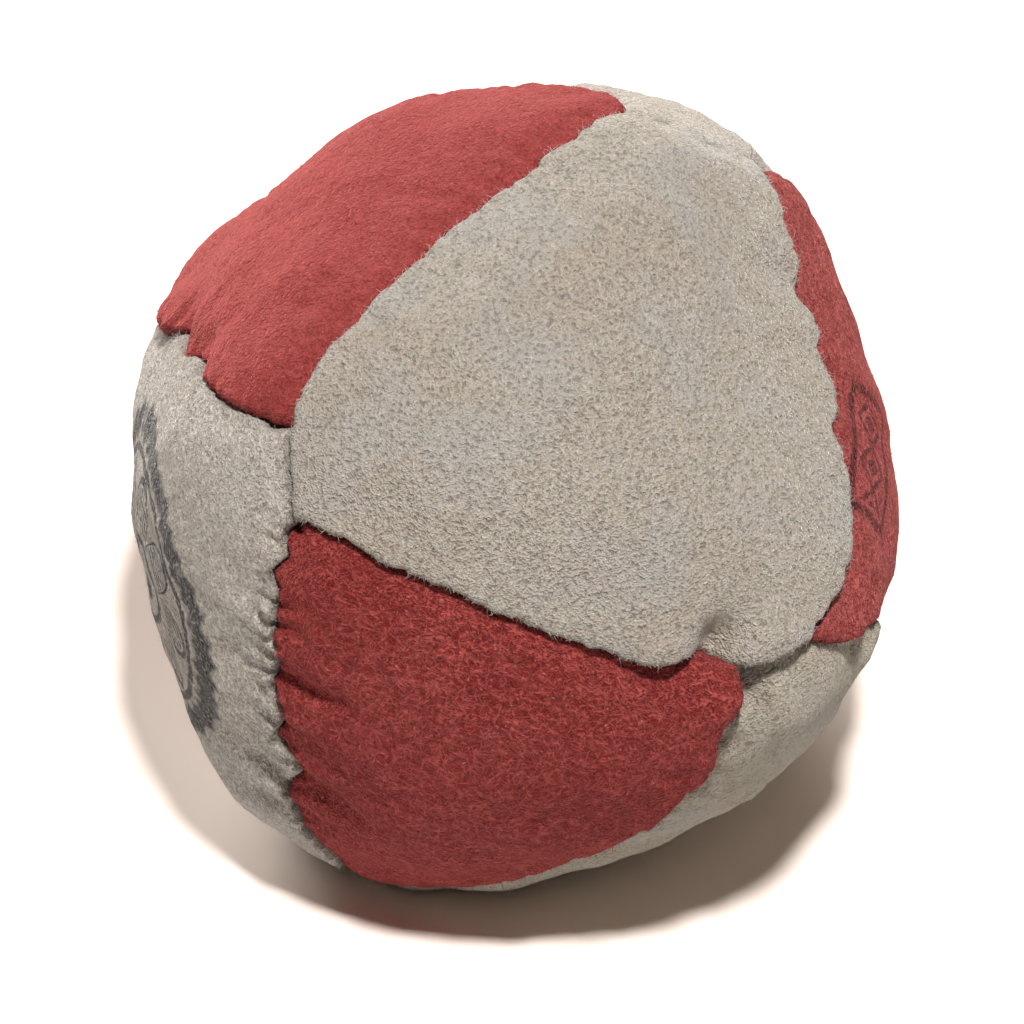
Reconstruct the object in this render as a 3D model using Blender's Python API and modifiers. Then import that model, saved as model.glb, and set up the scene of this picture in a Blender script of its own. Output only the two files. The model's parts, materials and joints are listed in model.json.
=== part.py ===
"""Footbag: eight suede panels sewn together over a fill of plastic pellets, lying on its base.

Metres, +Z up, the front towards -Y. The origin is on the ground, under the middle of the bag.
Four grey panels have six sides and four red ones have three, so that three panels meet at each
of twelve junctions. A point of the bag is written as a direction from its centre and a depth
below the outer skin, and a direction as two angles in degrees: the turn from -Y towards +X,
and the height above the horizon.
"""
import math

import bmesh
import bpy
import numpy as np
from mathutils import Matrix

# The bag
BAG_RADIUS = 0.0258
SAG = 0.0034
PANEL_ROUNDNESS = 3.2
CENTRE_HEIGHT = BAG_RADIUS - SAG

# The suede, and the fold that turns it into a seam
SUEDE_THICKNESS = 0.0012
FOLD_INNER_RADIUS = 0.0003
PIECE_GAP = 0.0003
FOLD_RADIUS = SUEDE_THICKNESS + FOLD_INNER_RADIUS

# The sewing: a running stitch through both seam allowances
THREAD_THICKNESS = 0.0005
THREAD_CLEARANCE = 0.0003
STITCH_PITCH = 0.0034
FIRST_STITCH_DISTANCE = 0.005
LEAST_STITCH_SPACING = 0.0022
HOLE_UPPER_MARGIN = 0.00085
HOLE_LOWER_MARGIN = 0.00165
CUT_OVERRUN = 0.0004
HOLE_WIDTH = THREAD_THICKNESS + 2 * THREAD_CLEARANCE
STITCH_DEPTH = FOLD_RADIUS + HOLE_UPPER_MARGIN + HOLE_WIDTH / 2
ALLOWANCE_DEPTH = STITCH_DEPTH + HOLE_WIDTH / 2 + HOLE_LOWER_MARGIN
ALLOWANCE_INNER_FACE = PIECE_GAP / 2 + SUEDE_THICKNESS
THREAD_RUN_DISTANCE = ALLOWANCE_INNER_FACE + THREAD_CLEARANCE + THREAD_THICKNESS / 2

# The fill, with a groove along each seam for the allowances and the thread
FILL_CLEARANCE = 0.0006
FILL_DEPTH = SUEDE_THICKNESS + FILL_CLEARANCE
GROOVE_HALF_WIDTH = THREAD_RUN_DISTANCE + THREAD_THICKNESS / 2 + FILL_CLEARANCE
GROOVE_DEPTH = ALLOWANCE_DEPTH + FILL_CLEARANCE

# Where three panels meet, in degrees
JUNCTION_ANGLES = {
    "A": (-46.5, 44.0),
    "B": (-37.5, 32.0),
    "C": (33.5, 11.0),
    "D": (46.8, 8.4),
    "E": (119.0, 48.0),
    "F": (144.5, 61.0),
    "G": (118.0, -28.0),
    "H": (134.5, -46.0),
    "I": (-123.0, 4.5),
    "J": (-127.0, -15.0),
    "K": (-37.0, -47.0),
    "M": (-64.0, -62.0),
}

# Each panel: its corners in order, the angles of its middle, and its reach as a share of the radius
PANELS = {
    "grey_panel_front": ("ABCDEF", (32.0, 56.0), 0.99),
    "grey_panel_left": ("BAIJMK", (-79.0, -9.0), 1.02),
    "grey_panel_base": ("DCKMHG", (55.0, -49.0), 0.985),
    "grey_panel_back": ("FEGHJI", (169.0, 5.0), 0.985),
    "red_panel_top": ("AFI", (-116.0, 53.0), 1.005),
    "red_panel_front": ("BKC", (-11.0, -1.0), 0.99),
    "red_panel_right": ("DGE", (94.0, 10.0), 1.015),
    "red_panel_under": ("HMJ", (-141.0, -59.0), 1.005),
}

# Each seam: its first and last junction, and how far it strays sideways from the straight line
# between them, as shares of the radius, in one swing and in two
SEAM_BOW_SHARES = {
    "AB": (0.0, 0.0),
    "CD": (0.0, 0.0),
    "EF": (0.0, 0.0),
    "HG": (0.0, 0.0),
    "IJ": (0.0, 0.0),
    "MK": (0.0, 0.0),
    "AI": (0.03, 0.02),
    "BC": (-0.035, 0.02),
    "CK": (0.17, 0.0),
    "DE": (-0.08, -0.04),
    "EG": (0.0, 0.0),
    "FA": (0.012, 0.012),
    "GD": (0.0, 0.0),
    "HJ": (0.0, 0.0),
    "IF": (0.04, -0.05),
    "JM": (0.0, 0.0),
    "KB": (-0.015, 0.0),
    "MH": (0.0, 0.0),
}

# Where the fill swells or sinks: two angles and the half-width in degrees, and the height
# as a share of the radius
SWELL_SHARES = (
    (-62.0, -24.0, 20.0, 0.008),
    (-24.5, -42.5, 20.0, -0.036),
    (62.0, -24.0, 20.0, 0.021),
    (88.0, 2.0, 20.0, 0.027),
    (152.5, 47.5, 20.0, -0.041),
    (-152.5, 47.5, 20.0, 0.039),
    (-134.0, 37.0, 12.0, -0.03),
)

# Counts
LONG_SEAM_STEPS = 7
SHORT_SEAM_STEPS = 2
SHORT_SEAM_ANGLE = 30.0
FOLD_STEPS = 2
LEAST_HOLES = 2
THREAD_RESOLUTION = 1
LENGTH_SAMPLES = 32

# Rings of a panel, as shares of the way from its middle to its fold
RING_SHARES = (0.0, 0.35, 0.65, 0.88)

# How far the fill's groove may run into a sharp corner, as a share of its half-width
CORNER_REACH_SHARE = 1.65

# Steps for slopes and merging, as shares
SLOPE_STEP_SHARE = 0.001
MERGE_SHARE = 0.02
MERGE_DISTANCE = PIECE_GAP * MERGE_SHARE

GREY_SUEDE = (0.434, 0.392, 0.342, 1.0)
RED_SUEDE = (0.402, 0.061, 0.058, 1.0)
THREAD_COLOUR = (0.50, 0.45, 0.38, 1.0)
PELLET_COLOUR = (0.70, 0.69, 0.64, 1.0)


def unit(vector):
    """The vector at length 1."""
    return vector / np.linalg.norm(vector)


def direction_of(angles):
    """Unit vector of two angles in degrees."""
    turn, height = (math.radians(angle) for angle in angles)
    level = math.cos(height)
    return np.array([level * math.sin(turn), -level * math.cos(turn), math.sin(height)])


def round_radius(direction):
    """Radius of the bag in one direction before it sags onto its base."""
    total = 0.0
    for corners, middle, reach_share in PANELS.values():
        facing = max(0.0, float(direction @ direction_of(middle)))
        total += (facing / reach_share) ** PANEL_ROUNDNESS
    radius = BAG_RADIUS / total ** (1 / PANEL_ROUNDNESS)
    for turn, height, width, swell_share in SWELL_SHARES:
        spread = 1 - math.cos(math.radians(width))
        apart = 1 - float(direction @ direction_of((turn, height)))
        radius *= 1 + swell_share * math.exp(-apart / spread)
    return radius


def layer_radius(direction, depth):
    """Radius of the layer that lies a depth below the outer skin, measured square to the skin."""
    radius = round_radius(direction)
    side = unit(np.cross(direction, np.roll(direction, 1)))
    slope_squared = 0.0
    for across in (side, np.cross(direction, side)):
        moved = round_radius(unit(direction + across * SLOPE_STEP_SHARE))
        slope_squared += ((moved - radius) / (radius * SLOPE_STEP_SHARE)) ** 2
    layer = radius - depth * math.sqrt(1 + slope_squared)
    if direction[2] < 0:
        layer = min(layer, (CENTRE_HEIGHT - depth) / -direction[2])
    return layer


def seam_direction(seam, share):
    """Direction of the point at a share of the way along a seam."""
    first, last = (direction_of(JUNCTION_ANGLES[corner]) for corner in seam)
    angle = math.acos(float(first @ last))
    straight = (math.sin((1 - share) * angle) * first + math.sin(share * angle) * last) / math.sin(angle)
    once, twice = SEAM_BOW_SHARES[seam]
    bow = once * math.sin(math.pi * share) + twice * math.sin(2 * math.pi * share)
    return unit(straight + unit(np.cross(first, last)) * bow)


def seam_side(seam, share):
    """Unit vector that crosses the seam at a share of the way along it."""
    ahead = seam_direction(seam, share + SLOPE_STEP_SHARE)
    behind = seam_direction(seam, share - SLOPE_STEP_SHARE)
    return unit(np.cross(seam_direction(seam, share), ahead - behind))


def seam_steps(seam):
    """Number of steps along a seam, alike for the panels on both sides of it."""
    first, last = (direction_of(JUNCTION_ANGLES[corner]) for corner in seam)
    if float(first @ last) > math.cos(math.radians(SHORT_SEAM_ANGLE)):
        return SHORT_SEAM_STEPS
    return LONG_SEAM_STEPS


def beside_seam(direction, side, distance, depth):
    """Point at a distance to one side of a seam, in the layer a depth below the seam's own skin."""
    radius = layer_radius(direction, depth)
    return unit(direction + side * distance / radius) * radius


def panel_border(corners, middle):
    """Directions round a panel's border, each with the vector that leads into the panel there.

    A corner's vector is longer than 1, so that a step along it leaves both its seams equally.
    """
    border = []
    for start, end in zip(corners, corners[1:] + corners[0]):
        seam = start + end
        forward = seam in SEAM_BOW_SHARES
        if not forward:
            seam = end + start
        steps = seam_steps(seam)
        for step in range(steps + 1):
            share = step / steps if forward else 1 - step / steps
            inward = seam_side(seam, share)
            if inward @ middle < 0:
                inward = -inward
            border.append([seam_direction(seam, share), inward, step == steps])
    for index, (direction, inward, is_corner) in enumerate(border):
        if is_corner:
            other = border[(index + 1) % len(border)][1]
            border[index][1] = (inward + other) / (1 + float(inward @ other))
            border[(index + 1) % len(border)][0] = None
    return [(direction, inward) for direction, inward, is_corner in border if direction is not None]


def rings_to(middle, rim_direction, depth):
    """Points from a panel's middle towards one point of its rim, all at one depth."""
    points = []
    for share in RING_SHARES:
        direction = unit(middle * (1 - share) + rim_direction * share)
        points.append(direction * layer_radius(direction, depth))
    return points


def panel_spoke(middle, direction, inward):
    """Outer skin along one spoke: the middle, the rings, the fold and the turned-in allowance."""
    fold = []
    for step in range(FOLD_STEPS + 1):
        angle = math.pi / 2 * step / FOLD_STEPS
        distance = PIECE_GAP / 2 + FOLD_RADIUS * (1 - math.sin(angle))
        depth = FOLD_RADIUS * (1 - math.cos(angle))
        aim = unit(direction + inward * distance / layer_radius(direction, depth))
        if step < FOLD_STEPS:
            fold.append(aim * layer_radius(aim, depth))
    fold.append(beside_seam(direction, inward, PIECE_GAP / 2, FOLD_RADIUS))
    allowance = beside_seam(direction, inward, PIECE_GAP / 2, ALLOWANCE_DEPTH)
    return rings_to(middle, unit(fold[0]), 0.0) + fold + [allowance]


def fill_spoke(middle, direction, inward):
    """Skin of the fill along one spoke: the middle, the rings, and half of the seam's groove."""
    inward = inward * min(1.0, CORNER_REACH_SHARE / float(np.linalg.norm(inward)))
    radius = layer_radius(direction, FILL_DEPTH)
    aim = unit(direction + inward * GROOVE_HALF_WIDTH / radius)
    rim = aim * layer_radius(aim, FILL_DEPTH)
    floor_radius = layer_radius(direction, GROOVE_DEPTH)
    foot = unit(direction + inward * GROOVE_HALF_WIDTH / floor_radius)
    foot = foot * min(floor_radius, layer_radius(foot, GROOVE_DEPTH))
    return rings_to(middle, aim, FILL_DEPTH) + [rim, foot, direction * floor_radius]


def disc_from_spokes(spokes):
    """A grid rolled up into a disc, with one column for each spoke and one row for each ring."""
    columns = len(spokes)
    rows = len(spokes[0]) - 1
    mesh = bmesh.new()
    bmesh.ops.create_grid(mesh, x_segments=columns, y_segments=rows, size=1)
    for vertex in mesh.verts:
        column = round((vertex.co.x + 1) / 2 * columns)
        row = round((vertex.co.y + 1) / 2 * rows)
        vertex.co = spokes[column % columns][row]
    bmesh.ops.remove_doubles(mesh, verts=mesh.verts[:], dist=MERGE_DISTANCE)
    mesh.normal_update()
    mesh.faces.ensure_lookup_table()
    first_face = mesh.faces[0]
    if first_face.normal.dot(first_face.calc_center_median()) < 0:
        bmesh.ops.reverse_faces(mesh, faces=mesh.faces[:])
    return mesh


def make_material(name, colour, roughness):
    """A plain surface of one colour."""
    material = bpy.data.materials.new(name)
    material.use_nodes = True
    surface = material.node_tree.nodes["Principled BSDF"]
    surface.inputs["Base Color"].default_value = colour
    surface.inputs["Roughness"].default_value = roughness
    surface.inputs["Metallic"].default_value = 0.0
    material.diffuse_color = colour
    return material


def add_object(name, data, collection, parent):
    """An object in a collection, under the empty at the bag's centre."""
    item = bpy.data.objects.new(name, data)
    collection.objects.link(item)
    item.parent = parent
    return item


def mesh_from(name, mesh):
    """Stored mesh of a bmesh, which is freed."""
    data = bpy.data.meshes.new(name)
    mesh.to_mesh(data)
    mesh.free()
    return data


def stitch_shares(seam):
    """Places of the stitch holes along a seam, evenly spaced, as shares of its length."""
    shares = np.linspace(0.0, 1.0, LENGTH_SAMPLES + 1)
    line = []
    for share in shares:
        direction = seam_direction(seam, share)
        line.append(direction * layer_radius(direction, STITCH_DEPTH))
    lengths = np.linalg.norm(np.diff(line, axis=0), axis=1)
    travelled = np.concatenate([[0.0], np.cumsum(lengths)])
    first = min(FIRST_STITCH_DISTANCE, (travelled[-1] - LEAST_STITCH_SPACING) / 2)
    stitched = travelled[-1] - 2 * first
    holes = max(LEAST_HOLES, int(stitched / STITCH_PITCH) + 1)
    return np.interp(np.linspace(first, travelled[-1] - first, holes), travelled, shares)


def hole_cutter(seam):
    """Square pegs that cut the stitch holes through both allowances of a seam."""
    mesh = bmesh.new()
    length = 2 * (ALLOWANCE_INNER_FACE + CUT_OVERRUN)
    for share in stitch_shares(seam):
        outward = seam_direction(seam, share)
        side = seam_side(seam, share)
        place = outward * layer_radius(outward, STITCH_DEPTH)
        along = np.cross(side, outward)
        axes = Matrix((along * HOLE_WIDTH, side * length, outward * HOLE_WIDTH)).transposed().to_4x4()
        bmesh.ops.create_cube(mesh, size=1, matrix=Matrix.Translation(place) @ axes)
    return mesh_from("holes_" + seam, mesh)


def thread_curve(seam):
    """Running stitch along a seam: through each hole, then along the far side to the next."""
    points = []
    face = 1
    for share in stitch_shares(seam):
        for far in (face, -face):
            distance = far * THREAD_RUN_DISTANCE
            direction = seam_direction(seam, share)
            points.append(beside_seam(direction, seam_side(seam, share), distance, STITCH_DEPTH))
        face = -face
    curve = bpy.data.curves.new("thread_" + seam, "CURVE")
    curve.dimensions = "3D"
    curve.bevel_depth = THREAD_THICKNESS / 2
    curve.bevel_resolution = THREAD_RESOLUTION
    curve.use_fill_caps = True
    spline = curve.splines.new("POLY")
    spline.points.add(len(points) - 1)
    for point, place in zip(spline.points, points):
        point.co = (*place, 1.0)
    return curve


def panels_beside(seam):
    """Names of the two panels that a seam joins."""
    return [name for name, (corners, middle, reach) in PANELS.items()
            if all(corner in corners for corner in seam)]


def make_panel(name, cutters, collection, parent):
    """One suede panel with its allowances folded in and its stitch holes cut."""
    corners, middle, reach_share = PANELS[name]
    middle = direction_of(middle)
    spokes = [panel_spoke(middle, *place) for place in panel_border(corners, middle)]
    data = mesh_from(name, disc_from_spokes(spokes))
    panel = add_object(name, data, collection, parent)
    shell = panel.modifiers.new("suede", "SOLIDIFY")
    shell.thickness = SUEDE_THICKNESS
    shell.offset = -1.0
    shell.use_even_offset = True
    shell.use_quality_normals = True
    for seam, cutter in cutters.items():
        if name in panels_beside(seam):
            holes = panel.modifiers.new("holes_" + seam, "BOOLEAN")
            holes.object = cutter
            holes.operation = "DIFFERENCE"
            holes.solver = "EXACT"
    colour = GREY_SUEDE if name.startswith("grey") else RED_SUEDE
    data.materials.append(make_material(name + "_suede", colour, 0.95))
    return panel


def make_fill(collection, parent):
    """The pellets, as one closed lump that fits inside the panels and their allowances."""
    whole = bmesh.new()
    for corners, middle, reach_share in PANELS.values():
        middle = direction_of(middle)
        spokes = [fill_spoke(middle, *place) for place in panel_border(corners, middle)]
        patch = mesh_from("fill_patch", disc_from_spokes(spokes))
        whole.from_mesh(patch)
        bpy.data.meshes.remove(patch)
    bmesh.ops.remove_doubles(whole, verts=whole.verts[:], dist=MERGE_DISTANCE)
    data = mesh_from("pellet_fill", whole)
    data.materials.append(make_material("pellet_fill_plastic", PELLET_COLOUR, 0.6))
    return add_object("pellet_fill", data, collection, parent)


def make_thread(seam, collection, parent):
    """The thread of one seam."""
    sides = [name.replace("_panel", "") for name in panels_beside(seam)]
    name = "thread_" + "_".join(sides)
    curve = thread_curve(seam)
    curve.materials.append(make_material(name + "_cotton", THREAD_COLOUR, 0.8))
    return add_object(name, curve, collection, parent)


def box_middle(panels):
    """Middle of the footprint of the panels' outer skin, measured from the bag's centre."""
    places = np.array([vertex.co for panel in panels for vertex in panel.data.vertices])
    return (places.min(axis=0) + places.max(axis=0)) / 2


def main():
    for item in list(bpy.data.objects):
        bpy.data.objects.remove(item, do_unlink=True)
    parts = bpy.data.collections.new("footbag")
    cutter_collection = bpy.data.collections.new("cutters")
    bpy.context.scene.collection.children.link(parts)
    bpy.context.scene.collection.children.link(cutter_collection)
    centre = bpy.data.objects.new("bag_centre", None)
    parts.objects.link(centre)
    cutters = {}
    for seam in SEAM_BOW_SHARES:
        cutter = add_object("holes_" + seam, hole_cutter(seam), cutter_collection, centre)
        cutter.hide_render = True
        cutter.display_type = "WIRE"
        cutters[seam] = cutter
    panels = [make_panel(name, cutters, parts, centre) for name in PANELS]
    make_fill(parts, centre)
    for seam in SEAM_BOW_SHARES:
        make_thread(seam, parts, centre)
    middle = box_middle(panels)
    centre.location = (-middle[0], -middle[1], CENTRE_HEIGHT)


main()
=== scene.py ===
import json
import math

import bmesh
import bpy
import numpy as np
from mathutils import Matrix, Vector
from mathutils.kdtree import KDTree

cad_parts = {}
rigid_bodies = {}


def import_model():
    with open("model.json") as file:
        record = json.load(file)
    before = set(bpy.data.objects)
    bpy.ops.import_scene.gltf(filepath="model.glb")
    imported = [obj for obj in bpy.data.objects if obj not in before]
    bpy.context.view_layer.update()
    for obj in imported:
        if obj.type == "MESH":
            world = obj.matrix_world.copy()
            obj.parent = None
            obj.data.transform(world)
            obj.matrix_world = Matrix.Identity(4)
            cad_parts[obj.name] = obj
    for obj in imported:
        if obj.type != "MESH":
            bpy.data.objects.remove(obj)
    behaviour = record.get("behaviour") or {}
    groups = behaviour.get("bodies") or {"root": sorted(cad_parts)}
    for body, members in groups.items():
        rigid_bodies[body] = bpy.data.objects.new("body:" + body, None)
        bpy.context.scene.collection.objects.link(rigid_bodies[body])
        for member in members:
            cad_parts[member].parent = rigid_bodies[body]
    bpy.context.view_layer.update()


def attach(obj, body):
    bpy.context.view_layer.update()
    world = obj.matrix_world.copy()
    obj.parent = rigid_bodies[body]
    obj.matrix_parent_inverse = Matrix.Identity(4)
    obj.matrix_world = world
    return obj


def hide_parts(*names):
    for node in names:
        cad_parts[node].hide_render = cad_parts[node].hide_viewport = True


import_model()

# Footbag of eight suede panels. The shape is worked out as directions from the bag's centre.
# Angles are in degrees: the turn from -Y towards +X, and the height above the horizon.
# Lengths are in millimetres, and become metres where points are made.

MM = 0.001

BAG_RADIUS = 25.8
SAG = 3.4
ROUNDNESS = 3.2
CENTRE_HEIGHT = BAG_RADIUS - SAG
CENTRE_PLACE = np.array([-0.004, -0.411, CENTRE_HEIGHT])
# How softly the skin turns into the flat on the floor, and the least slope down that meets it
FLOOR_EASE = 0.12
LEAST_DOWN = 0.05

# Places where three panels meet
JUNCTIONS = {
    "A": (-46.5, 44), "B": (-38, 32), "C": (33.5, 11), "D": (45.6, 9.3), "E": (119, 48), "F": (144.5, 61),
    "G": (118, -28), "H": (134.5, -46), "I": (-123, 4.5), "J": (-127, -15), "K": (-37, -47),
    "M": (-64, -62),
}

# Junctions in order round a panel, its middle, and how far it reaches as a share of the radius
PANELS = {
    "grey_front": ("ABCDEF", (32, 56), 0.99), "grey_left": ("BAIJMK", (-79, -9), 1.02),
    "grey_base": ("DCKMHG", (55, -49), 0.985), "grey_back": ("FEGHJI", (169, 5), 0.985),
    "red_top": ("AFI", (-116, 53), 1.005), "red_front": ("BKC", (-11, -1), 0.99),
    "red_right": ("DGE", (94, 10), 1.015), "red_under": ("HMJ", (-141, -59), 1.005),
}

# Each seam, named by its junctions
SEAM_NAMES = "AB CD EF HG IJ MK AI BC CK DE EG FA GD HJ IF JM KB MH".split()
# How far a seam bows once and twice along its length, as shares of the radius
SEAM_BOWS = {
    "AI": (0.03, 0.02), "BC": (-0.035, 0.02), "CK": (0.17, 0), "DE": (-0.08, -0.04), "FA": (0.012, 0.012),
    "IF": (0.04, -0.05), "KB": (-0.015, 0),
}

# Swells of the whole bag: turn, height, half-width, and swell as a share of the radius
SWELLS = (
    (-62, -24, 20, 0.008), (-24.5, -42.5, 20, -0.036), (62, -24, 20, 0.021), (88, 2, 20, 0.027),
    (152.5, 47.5, 20, -0.041), (-152.5, 47.5, 20, 0.039), (-134, 37, 12, -0.03),
)

# Where a seam that shows strays from its smooth line: share along it and distance sideways, in turn
WANDERS = {
    "FA": (
        0, 0, 0.05, 0.25, 0.09, -0.3, 0.18, 0.15, 0.25, -0.35, 0.29, 0.1, 0.4, -0.5, 0.43, -0.4,
        0.5, -0.7, 0.57, -0.5, 0.66, -0.4, 0.69, -0.65, 0.74, -0.45, 0.79, -0.3, 0.85, -0.65, 0.91, -0.5,
        0.96, -0.4, 1, 0),
    "AI": (
        0, 0.3, 0.09, 0.2, 0.16, 0, 0.23, -0.2, 0.29, -0.3, 0.33, -0.5, 0.36, -1.45, 0.41, -1.15,
        0.46, -0.6, 0.51, -0.3, 0.56, -1.7, 0.63, -1, 0.71, -0.25, 0.8, -0.45, 0.88, -0.7, 1, 0),
    "BC": (
        0, 0.2, 0.05, 0.35, 0.12, 0.3, 0.2, -0.15, 0.25, -0.1, 0.34, 0.05, 0.45, -0.05, 0.53, 0.15,
        0.58, 0.05, 0.65, 0.25, 0.68, 0.1, 0.71, 0.3, 0.79, -0.15, 0.84, 0, 0.87, 0.4, 0.9, 0.65,
        0.93, 0.55, 0.96, 0.2, 1, 0),
    "CD": (0, 0.1, 0.3, 0.1, 0.6, 0.2, 1, 0.1),
    "EG": (
        0, 0.6, 0.04, 1.2, 0.08, 1.8, 0.13, 2.1, 0.19, 2, 0.27, 1.6, 0.36, 0.9, 0.45, 0.4, 0.53, -0.1,
        0.62, 0.2, 0.7, -0.25, 0.8, 0.05, 0.9, -0.2, 1, 0),
    "DE": (
        0, 0.3, 0.05, 0.3, 0.1, -0.4, 0.14, -0.8, 0.18, -1.1, 0.24, -1.05, 0.3, -0.7, 0.35, -0.5,
        0.39, -0.1, 0.43, 0.8, 0.46, 0.5, 0.5, -1.1, 0.55, -1.1, 0.58, -0.1, 0.61, -0.05, 0.67, -1.3,
        0.7, -1.4, 0.73, 0.1, 0.76, -0.4, 0.8, -1, 0.84, -0.9, 0.87, -0.25, 0.91, -0.6, 0.95, -0.6, 1, 0),
    "CK": (
        0, -0.3, 0.035, 0.3, 0.07, 0.45, 0.1, -0.2, 0.14, 0.05, 0.18, 0.75, 0.22, 0.95, 0.27, 0.4,
        0.33, 0.8, 0.38, 1.15, 0.41, 0.4, 0.49, 0.6, 0.56, -0.3, 0.61, 0.2, 0.66, 0.35, 0.71, 0.5,
        0.8, 0.2, 1, 0),
    "GD": (0, 0, 0.67, -0.1, 0.82, -0.2, 0.87, -0.3, 0.89, 0.1, 0.93, 0, 1, -0.2),
    "AB": (0, -0.1, 0.3, -0.1, 0.6, 0.05, 1, 0),
    "KB": (
        0, 0, 0.09, -0.8, 0.13, 0, 0.17, 0, 0.2, 0.5, 0.22, 0.7, 0.27, 0.6, 0.3, 1.3, 0.34, 0.95,
        0.39, -0.5, 0.45, -0.35, 0.47, 1.2, 0.49, 1.3, 0.52, 0.4, 0.55, 0.2, 0.61, 1, 0.65, 0.8,
        0.7, 0.25, 0.715, 0.1, 0.74, 0.75, 0.79, 0.5, 0.85, 0.2, 0.89, 1.05, 0.93, -0.2, 0.965, 0.6, 1, 0),
}
# Distance and wavelength of the other seams' strays, and of the fine ones that all seams have
USUAL_WANDER = (0.26, 4.2)
FINE_WANDER = (0.05, 1.3)
WANDER_WAVES = 12
# Samples of a stray along its seam, and the blur over them: its reach and its width in samples
STRAY_SAMPLES = 801
BLUR_REACH = 24
BLUR_WIDTH = 8.5
# How near a junction a stray fades out, and how far into the panels it is felt
JUNCTION_FADE = 0.8
STRAY_REACH = 2.6

# Which panel laps over its neighbour at a seam, and how strongly at even steps along it
LAPS = {
    "AB": ("grey_front", (0.1, 0, 0.3)), "CD": ("grey_front", (1.3, 0.9, 0.9)),
    "EF": ("grey_front", (0.1, 0.1)), "HG": ("grey_back", (0.1, 0.2)), "IJ": ("grey_left", (0.2, 0.1)),
    "MK": ("grey_left", (0.1, 0.2)), "AI": ("grey_left", (-1, -0.6, 0.5, 0.4, -0.5, -0.6, -0.2)),
    "BC": ("grey_front", (0.8, 0.9, 1.2)), "CK": ("red_front", (1.2, 0.7)),
    "DE": ("grey_front", (1.1, 0.6)), "EG": ("red_right", (0.2, 0.5, -0.3)),
    "FA": ("grey_front", (0.6, 0.8)), "GD": ("red_right", (-0.6, -0.3, 0.9)),
    "HJ": ("grey_back", (0.4, 0.4)), "IF": ("red_top", (0.2, 0.2)), "JM": ("grey_left", (0.5, 0.4)),
    "KB": ("grey_left", (0.4, 0.1, 0.35, 0.1, 0.3)), "MH": ("grey_base", (0.3, 0.4)),
}

# Depth and reach of the puckers that the stitches of a seam pull into a panel
PUCKERS = {
    "KB": {"grey_left": (0.62, 3.6), "red_front": (0.32, 3.6)},
    "AI": {"red_top": (0.42, 2.2), "grey_left": (0.12, 1.5)},
    "BC": {"grey_front": (0.1, 1.2), "red_front": (0.16, 2)},
    "DE": {"grey_front": (0.18, 1.6), "red_right": (0.12, 2)},
    "FA": {"grey_front": (0.16, 1.5), "red_top": (0.2, 2.2)},
    "CK": {"grey_base": (0.35, 2.4), "red_front": (0.16, 2)},
    "AB": {"grey_left": (0.16, 2.4), "grey_front": (0.08, 1.4)},
}
USUAL_PUCKER = (0.22, 2.0)

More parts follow.
